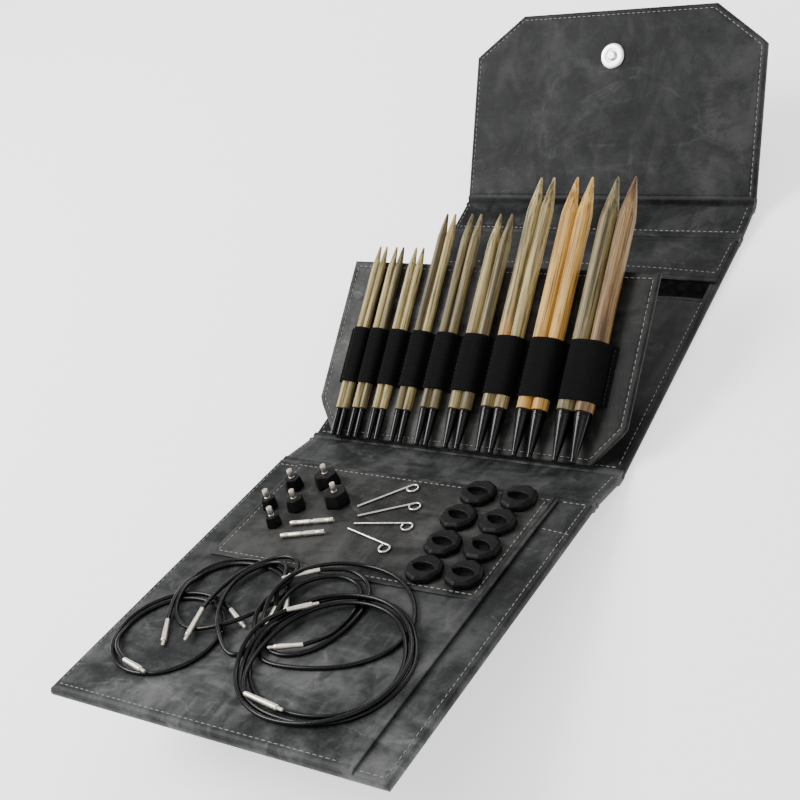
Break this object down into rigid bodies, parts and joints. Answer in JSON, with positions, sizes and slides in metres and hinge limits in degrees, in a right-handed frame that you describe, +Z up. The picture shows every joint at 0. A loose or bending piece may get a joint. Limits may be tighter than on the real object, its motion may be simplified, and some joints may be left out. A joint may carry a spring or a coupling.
{
  "type": "interchangeable knitting needle set in an open folding case",
  "caption": "Open folding case with paired wooden knitting needle tips in an elastic band, coiled cords, end caps, connectors, keys and rubber grips.",
  "frame": {"origin": "middle of the underside of the back panel, the face that the open case rests on", "axes": "+X across the case from the small needles to the large ones, +Y from the front panel's edge towards the closing flap, +Z up"},
  "size_m": [0.158, 0.4155, 0.0742],
  "materials": {
    "leatherette": "satin",
    "board": "matte",
    "elastic": "matte",
    "snap_metal": "satin",
    "driftwood": "satin",
    "amber_wood": "satin",
    "ferrule_metal": "gloss",
    "black_plastic": "satin",
    "silver_metal": "polished",
    "grip_rubber": "matte",
    "cord_plastic": "gloss"
  },
  "bodies": {
    "back_panel": {"back_panel_cover": "leatherette", "back_board": "board", "back_pocket": "leatherette", "pocket_lip": "leatherette"},
    "spine_front": {"spine_front": "leatherette"},
    "front_panel": {"front_panel_cover": "leatherette", "front_board": "board", "cord_pocket": "leatherette", "accessory_pouch": "leatherette", "snap_socket": "snap_metal"},
    "spine_back": {"spine_back": "leatherette"},
    "top_flap": {"top_flap_cover": "leatherette", "top_flap_board": "board", "snap_stud": "snap_metal"},
    "needle_flap": {"needle_flap": "leatherette", "elastic_band": "elastic"},
    "needle_pair_1": {"needle_tips_1": "driftwood", "ferrules_1": "ferrule_metal"},
    "needle_pair_2": {"needle_tips_2": "driftwood", "ferrules_2": "ferrule_metal"},
    "needle_pair_3": {"needle_tips_3": "driftwood", "ferrules_3": "ferrule_metal"},
    "needle_pair_4": {"needle_tips_4": "driftwood", "ferrules_4": "ferrule_metal"},
    "needle_pair_5": {"needle_tips_5": "driftwood", "ferrules_5": "ferrule_metal"},
    "needle_pair_6": {"needle_tips_6": "driftwood", "ferrules_6": "ferrule_metal"},
    "needle_pair_7": {"needle_tips_7": "driftwood", "ferrules_7": "ferrule_metal"},
    "needle_pair_8": {"needle_tips_8": "amber_wood", "ferrules_8": "ferrule_metal"},
    "needle_pair_9": {"needle_tips_9": "driftwood", "ferrules_9": "ferrule_metal"},
    "caps_large": {"end_caps_large": "black_plastic", "cap_barrels_large": "silver_metal"},
    "caps_medium": {"end_caps_medium": "black_plastic", "cap_barrels_medium": "silver_metal"},
    "caps_small": {"end_caps_small": "black_plastic", "cap_barrels_small": "silver_metal"},
    "connectors": {"cord_connectors": "silver_metal"},
    "key_1": {"tightening_key_1": "silver_metal"},
    "key_2": {"tightening_key_2": "silver_metal"},
    "key_3": {"tightening_key_3": "silver_metal"},
    "key_4": {"tightening_key_4": "silver_metal"},
    "grip_pair_1": {"grips_1": "grip_rubber"},
    "grip_pair_2": {"grips_2": "grip_rubber"},
    "grip_pair_3": {"grips_3": "grip_rubber"},
    "grip_pair_4": {"grips_4": "grip_rubber"},
    "cord_set_1": {"cord_1": "cord_plastic", "cord_ends_1": "silver_metal"},
    "cord_set_2": {"cord_2": "cord_plastic", "cord_ends_2": "silver_metal"},
    "cord_set_3": {"cord_3": "cord_plastic", "cord_ends_3": "silver_metal"},
    "cord_set_4": {"cord_4": "cord_plastic", "cord_ends_4": "silver_metal"},
    "cord_set_5": {"cord_5": "cord_plastic", "cord_ends_5": "silver_metal"}
  },
  "joints": [
    {"name": "spine_front_fold", "type": "hinge", "parent": "back_panel", "child": "spine_front", "pos_m": [0, -0.0748, 0.004], "axis": [1, 0, 0], "range_deg": [-44, 20]},
    {"name": "front_panel_fold", "type": "hinge", "parent": "spine_front", "child": "front_panel", "pos_m": [0, -0.09628, 0.01195], "axis": [1, 0, 0], "range_deg": [-110, 8]},
    {"name": "spine_back_fold", "type": "hinge", "parent": "back_panel", "child": "spine_back", "pos_m": [0, 0.0748, 0.004], "axis": [1, 0, 0], "range_deg": [-5.5, 75]},
    {"name": "top_flap_fold", "type": "hinge", "parent": "spine_back", "child": "top_flap", "pos_m": [0, 0.09649, 0.00617], "axis": [1, 0, 0], "range_deg": [-40, 50]},
    {"name": "needle_flap_fold", "type": "hinge", "parent": "back_panel", "child": "needle_flap", "pos_m": [0, -0.0748, 0.0043], "axis": [1, 0, 0], "range_deg": [-27.5, 40]},
    {"name": "needle_pair_1_draw", "type": "slide", "parent": "needle_flap", "child": "needle_pair_1", "axis": [0, -0.8854, -0.4648], "range_m": [-0.06, 0]},
    {"name": "needle_pair_2_draw", "type": "slide", "parent": "needle_flap", "child": "needle_pair_2", "axis": [0, -0.8854, -0.4648], "range_m": [-0.06, 0]},
    {"name": "needle_pair_3_draw", "type": "slide", "parent": "needle_flap", "child": "needle_pair_3", "axis": [0, -0.8854, -0.4648], "range_m": [-0.06, 0]},
    {"name": "needle_pair_4_draw", "type": "slide", "parent": "needle_flap", "child": "needle_pair_4", "axis": [0, -0.8854, -0.4648], "range_m": [-0.06, 0]},
    {"name": "needle_pair_5_draw", "type": "slide", "parent": "needle_flap", "child": "needle_pair_5", "axis": [0, -0.8854, -0.4648], "range_m": [-0.06, 0]},
    {"name": "needle_pair_6_draw", "type": "slide", "parent": "needle_flap", "child": "needle_pair_6", "axis": [0, -0.8854, -0.4648], "range_m": [-0.06, 0]},
    {"name": "needle_pair_7_draw", "type": "slide", "parent": "needle_flap", "child": "needle_pair_7", "axis": [0, -0.8854, -0.4648], "range_m": [-0.06, 0]},
    {"name": "needle_pair_8_draw", "type": "slide", "parent": "needle_flap", "child": "needle_pair_8", "axis": [0, -0.8854, -0.4648], "range_m": [-0.06, 0]},
    {"name": "needle_pair_9_draw", "type": "slide", "parent": "needle_flap", "child": "needle_pair_9", "axis": [0, -0.8854, -0.4648], "range_m": [-0.06, 0]},
    {"name": "caps_large_lift", "type": "slide", "parent": "front_panel", "child": "caps_large", "axis": [0, 0.213, 0.977], "range_m": [0, 0.06]},
    {"name": "caps_medium_lift", "type": "slide", "parent": "front_panel", "child": "caps_medium", "axis": [0, 0.213, 0.977], "range_m": [0, 0.06]},
    {"name": "caps_small_lift", "type": "slide", "parent": "front_panel", "child": "caps_small", "axis": [0, 0.213, 0.977], "range_m": [0, 0.06]},
    {"name": "connectors_lift", "type": "slide", "parent": "front_panel", "child": "connectors", "axis": [0, 0.213, 0.977], "range_m": [0, 0.06]},
    {"name": "key_1_lift", "type": "slide", "parent": "front_panel", "child": "key_1", "axis": [0, 0.213, 0.977], "range_m": [0, 0.06]},
    {"name": "key_2_lift", "type": "slide", "parent": "front_panel", "child": "key_2", "axis": [0, 0.213, 0.977], "range_m": [0, 0.06]},
    {"name": "key_3_lift", "type": "slide", "parent": "front_panel", "child": "key_3", "axis": [0, 0.213, 0.977], "range_m": [0, 0.06]},
    {"name": "key_4_lift", "type": "slide", "parent": "front_panel", "child": "key_4", "axis": [0, 0.213, 0.977], "range_m": [0, 0.06]},
    {"name": "grip_pair_1_lift", "type": "slide", "parent": "front_panel", "child": "grip_pair_1", "axis": [0, 0.213, 0.977], "range_m": [0, 0.06]},
    {"name": "grip_pair_2_lift", "type": "slide", "parent": "front_panel", "child": "grip_pair_2", "axis": [0, 0.213, 0.977], "range_m": [0, 0.06]},
    {"name": "grip_pair_3_lift", "type": "slide", "parent": "front_panel", "child": "grip_pair_3", "axis": [0, 0.213, 0.977], "range_m": [0, 0.06]},
    {"name": "grip_pair_4_lift", "type": "slide", "parent": "front_panel", "child": "grip_pair_4", "axis": [0, 0.213, 0.977], "range_m": [0, 0.06]},
    {"name": "cord_set_1_lift", "type": "slide", "parent": "front_panel", "child": "cord_set_1", "axis": [0, 0.213, 0.977], "range_m": [0, 0.06]},
    {"name": "cord_set_2_lift", "type": "slide", "parent": "front_panel", "child": "cord_set_2", "axis": [0, 0.213, 0.977], "range_m": [0, 0.06]},
    {"name": "cord_set_3_lift", "type": "slide", "parent": "front_panel", "child": "cord_set_3", "axis": [0, 0.213, 0.977], "range_m": [0, 0.06]},
    {"name": "cord_set_4_lift", "type": "slide", "parent": "front_panel", "child": "cord_set_4", "axis": [0, 0.213, 0.977], "range_m": [0, 0.06]},
    {"name": "cord_set_5_lift", "type": "slide", "parent": "front_panel", "child": "cord_set_5", "axis": [0, 0.213, 0.977], "range_m": [0, 0.06]}
  ]
}
